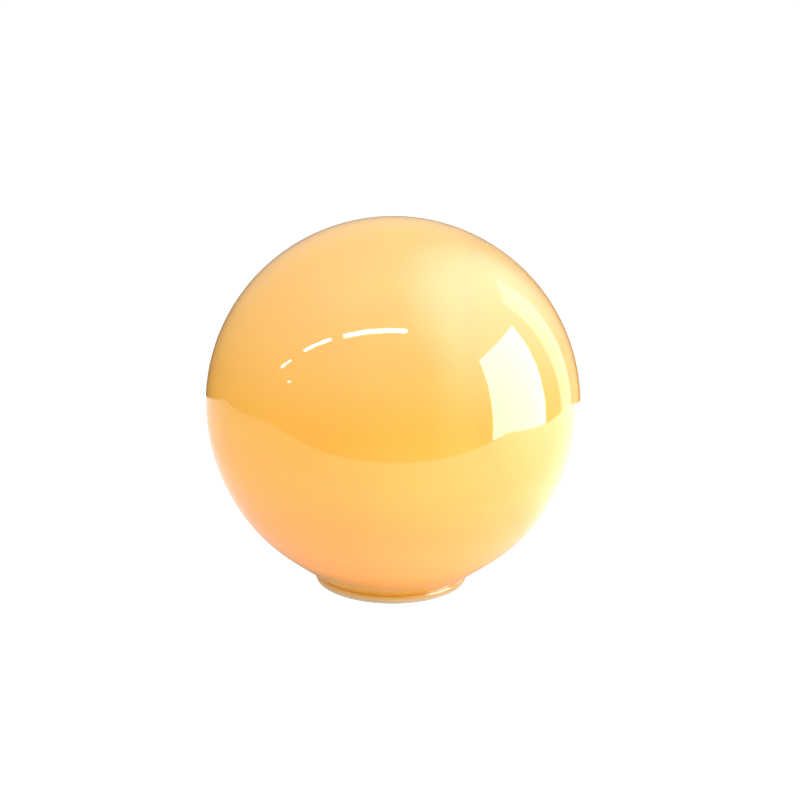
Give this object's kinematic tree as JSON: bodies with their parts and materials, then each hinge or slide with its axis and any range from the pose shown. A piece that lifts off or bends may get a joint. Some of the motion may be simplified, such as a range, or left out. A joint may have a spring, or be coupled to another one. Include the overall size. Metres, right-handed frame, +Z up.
{
  "type": "globe table lamp",
  "caption": "Blown amber glass ball standing on its own short lipped neck: a table lamp whose base unit, lampholder and bulb are hidden inside.",
  "frame": {"origin": "on the ball's axis, in the plane that the lamp stands on", "axes": "+Z up along the ball's axis, +Y to the back where the cord leaves, -Y to the front"},
  "size_m": [0.2499, 0.25, 0.248],
  "materials": {
    "amber_glass": "polished opal glass",
    "silicone": "soft satin",
    "base_plastic": "fine moulded texture",
    "foot_rubber": "matt",
    "bush_rubber": "matt",
    "clamp_plastic": "moulded",
    "zinc_steel": "zinc plated",
    "spring_steel": "rolled strip",
    "brass": "rolled",
    "holder_plastic": "moulded",
    "ceramic": "glazed",
    "cap_metal": "nickel plated",
    "black_glaze": "black vitrite",
    "collar_plastic": "satin",
    "board_white": "solder mask",
    "led_phosphor": "phosphor gel",
    "opal_plastic": "opal"
  },
  "bodies": {
    "base": {"base_dish": "base_plastic", "bottom_cover": "base_plastic", "foot_pad_1": "foot_rubber", "foot_pad_2": "foot_rubber", "foot_pad_3": "foot_rubber", "cover_screws": "zinc_steel", "cord_bush": "bush_rubber", "cord_clamp": "clamp_plastic", "clamp_screws": "zinc_steel", "nipple_nut": "zinc_steel", "threaded_nipple": "zinc_steel", "lock_washer": "zinc_steel", "holder_dome": "holder_plastic", "holder_skirt": "holder_plastic", "holder_insert": "ceramic", "screw_shell": "brass", "contact_rivet": "brass", "side_contact": "brass", "terminal_screws": "brass", "clip_pin_1": "zinc_steel", "clip_spring_1": "spring_steel", "clip_pin_2": "zinc_steel", "clip_spring_2": "spring_steel", "clip_pin_3": "zinc_steel", "clip_spring_3": "spring_steel"},
    "globe": {"glass_globe": "amber_glass", "rim_ring": "silicone"},
    "clip_1": {"spring_clip_1": "spring_steel"},
    "clip_2": {"spring_clip_2": "spring_steel"},
    "clip_3": {"spring_clip_3": "spring_steel"},
    "contact_tongue": {"centre_contact": "brass"},
    "bulb_tip": {"cap_tip": "cap_metal"},
    "bulb": {"bulb_cap": "cap_metal", "cap_insulator": "black_glaze", "bulb_collar": "collar_plastic", "led_board": "board_white", "led_chips": "led_phosphor", "bulb_envelope": "opal_plastic"}
  },
  "joints": [
    {"name": "globe_lift", "type": "slide", "parent": "base", "child": "globe", "axis": [0, 0, 1], "range_m": [0, 0.175]},
    {"name": "clip_pinch_1", "type": "hinge", "parent": "base", "child": "clip_1", "pos_m": [0.03715, 0.02145, 0.0116], "axis": [-0.5, 0.866, 0], "range_deg": [0, 8], "stiffness_Nm_per_rad": 0.05, "springref_deg": -11.46},
    {"name": "clip_pinch_2", "type": "hinge", "parent": "base", "child": "clip_2", "pos_m": [-0.03715, 0.02145, 0.0116], "axis": [-0.5, -0.866, 0], "range_deg": [0, 8], "stiffness_Nm_per_rad": 0.05, "springref_deg": -11.46},
    {"name": "clip_pinch_3", "type": "hinge", "parent": "base", "child": "clip_3", "pos_m": [0, -0.0429, 0.0116], "axis": [1, 0, 0], "range_deg": [0, 8], "stiffness_Nm_per_rad": 0.05, "springref_deg": -11.46},
    {"name": "bulb_rise", "type": "slide", "parent": "base", "child": "bulb_tip", "axis": [0, 0, 1], "range_m": [0, 0.0128]},
    {"name": "bulb_turn", "type": "hinge", "parent": "bulb_tip", "child": "bulb", "pos_m": [0, 0, 0.06], "axis": [0, 0, 1], "range_deg": [0, 1260]},
    {"name": "contact_press", "type": "hinge", "parent": "base", "child": "contact_tongue", "pos_m": [-0.005, 0, 0.04465], "axis": [0, 1, 0], "range_deg": [0, 6], "stiffness_Nm_per_rad": 0.02, "springref_deg": -5.73}
  ],
  "couplings": [
    {"joint": "bulb_rise", "follows": "bulb_turn", "m_per_rad": 0.00057757}
  ]
}
